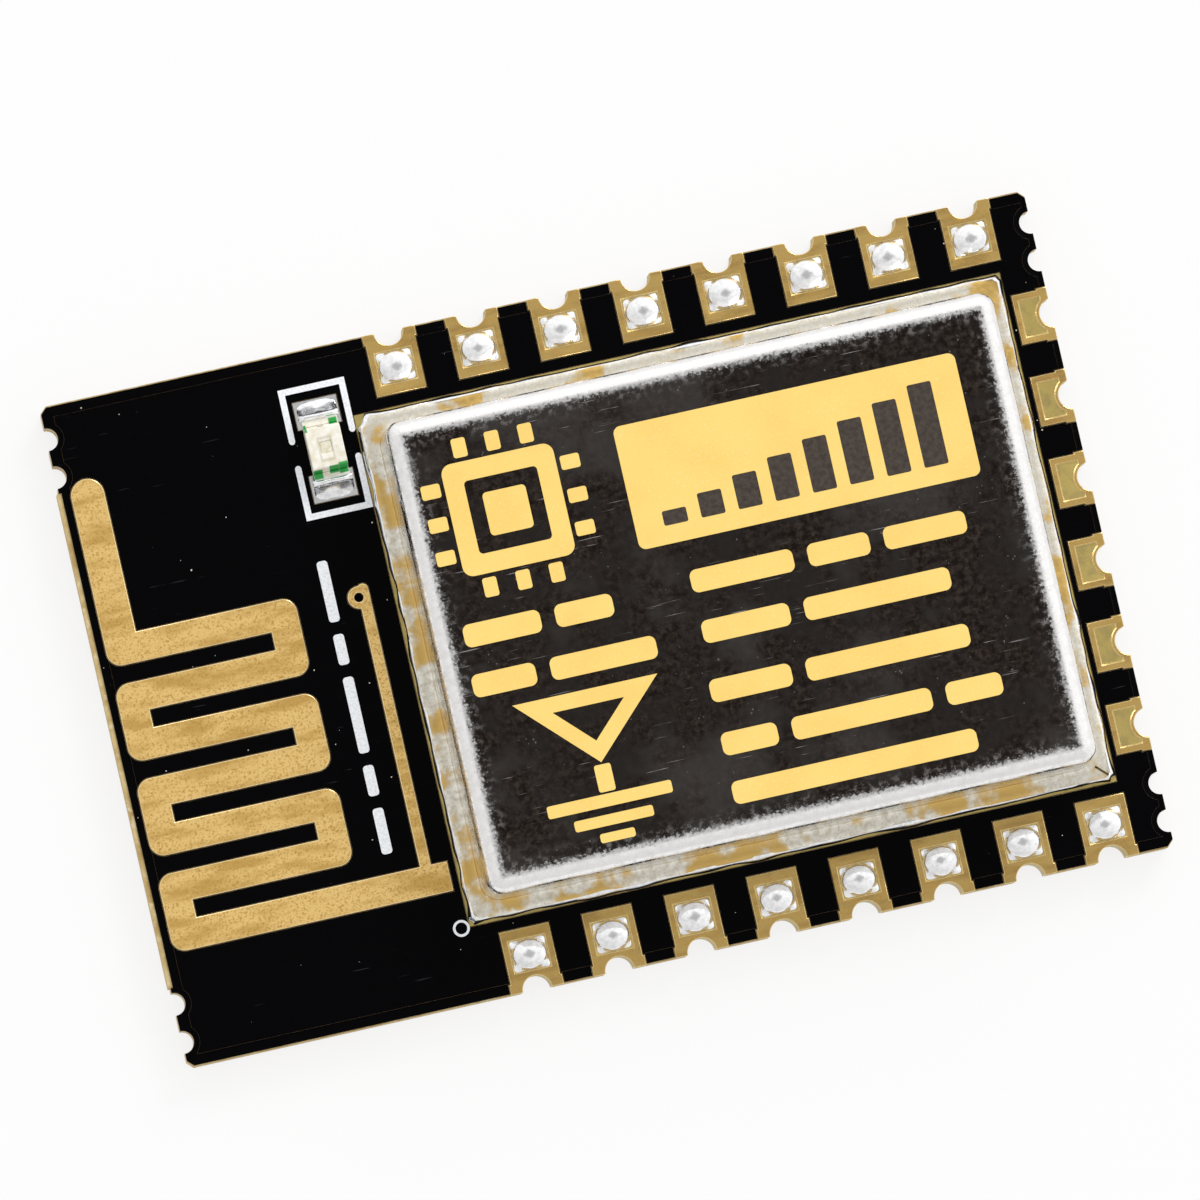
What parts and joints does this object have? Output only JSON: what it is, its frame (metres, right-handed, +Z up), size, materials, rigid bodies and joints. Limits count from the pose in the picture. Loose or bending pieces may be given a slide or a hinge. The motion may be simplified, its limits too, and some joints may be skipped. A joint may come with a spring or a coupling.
{
  "type": "castellated radio module",
  "caption": "Small black castellated radio module with a printed meander antenna, gold edge contacts and a soldered metal shield can.",
  "frame": {"origin": "centre of the board's outline, at the underside of the bottom contact lands", "axes": "+X along the board from the antenna to the end contacts, +Y across the board towards the lamp, +Z up out of the component side"},
  "size_m": [0.024, 0.016, 0.003],
  "materials": {
    "laminate": "rough layered edge",
    "black_lacquer": "glossy",
    "gold_plating": "satin, grained",
    "solder": "bright, slightly uneven",
    "tinned_sheet": "bright bends, mottled dark top",
    "white_print": "matte",
    "lamp_base": "matte",
    "lamp_lens": "satin",
    "lamp_die": "satin",
    "chip_body": "matte",
    "plated_lead": "satin",
    "crystal_base": "matte",
    "capacitor_body": "matte",
    "resistor_body": "matte",
    "inductor_body": "matte"
  },
  "bodies": {
    "root": {"board_core": "laminate", "top_mask": "black_lacquer", "bottom_mask": "black_lacquer", "antenna_trace": "gold_plating", "solder_domes_north": "solder", "solder_domes_south": "solder", "silkscreen": "white_print", "led_base": "lamp_base", "led_lens": "lamp_lens", "led_die": "lamp_die", "led_terminals": "solder", "led_solder": "solder", "shield_can": "tinned_sheet", "can_solder": "solder", "ground_ring": "gold_plating", "component_lands": "gold_plating", "radio_chip": "chip_body", "radio_chip_pads": "solder", "flash_body": "chip_body", "flash_leads": "plated_lead", "crystal_base": "crystal_base", "crystal_lid": "plated_lead", "capacitor_bodies": "capacitor_body", "capacitor_ends": "solder", "resistor_bodies": "resistor_body", "resistor_ends": "solder", "inductor_bodies": "inductor_body", "inductor_ends": "solder", "contact_n1": "gold_plating", "contact_n2": "gold_plating", "contact_n3": "gold_plating", "contact_n4": "gold_plating", "contact_n5": "gold_plating", "contact_n6": "gold_plating", "contact_n7": "gold_plating", "contact_n8": "gold_plating", "contact_s1": "gold_plating", "contact_s2": "gold_plating", "contact_s3": "gold_plating", "contact_s4": "gold_plating", "contact_s5": "gold_plating", "contact_s6": "gold_plating", "contact_s7": "gold_plating", "contact_s8": "gold_plating", "contact_e1": "gold_plating", "contact_e2": "gold_plating", "contact_e3": "gold_plating", "contact_e4": "gold_plating", "contact_e5": "gold_plating", "contact_e6": "gold_plating"}
  },
  "joints": []
}
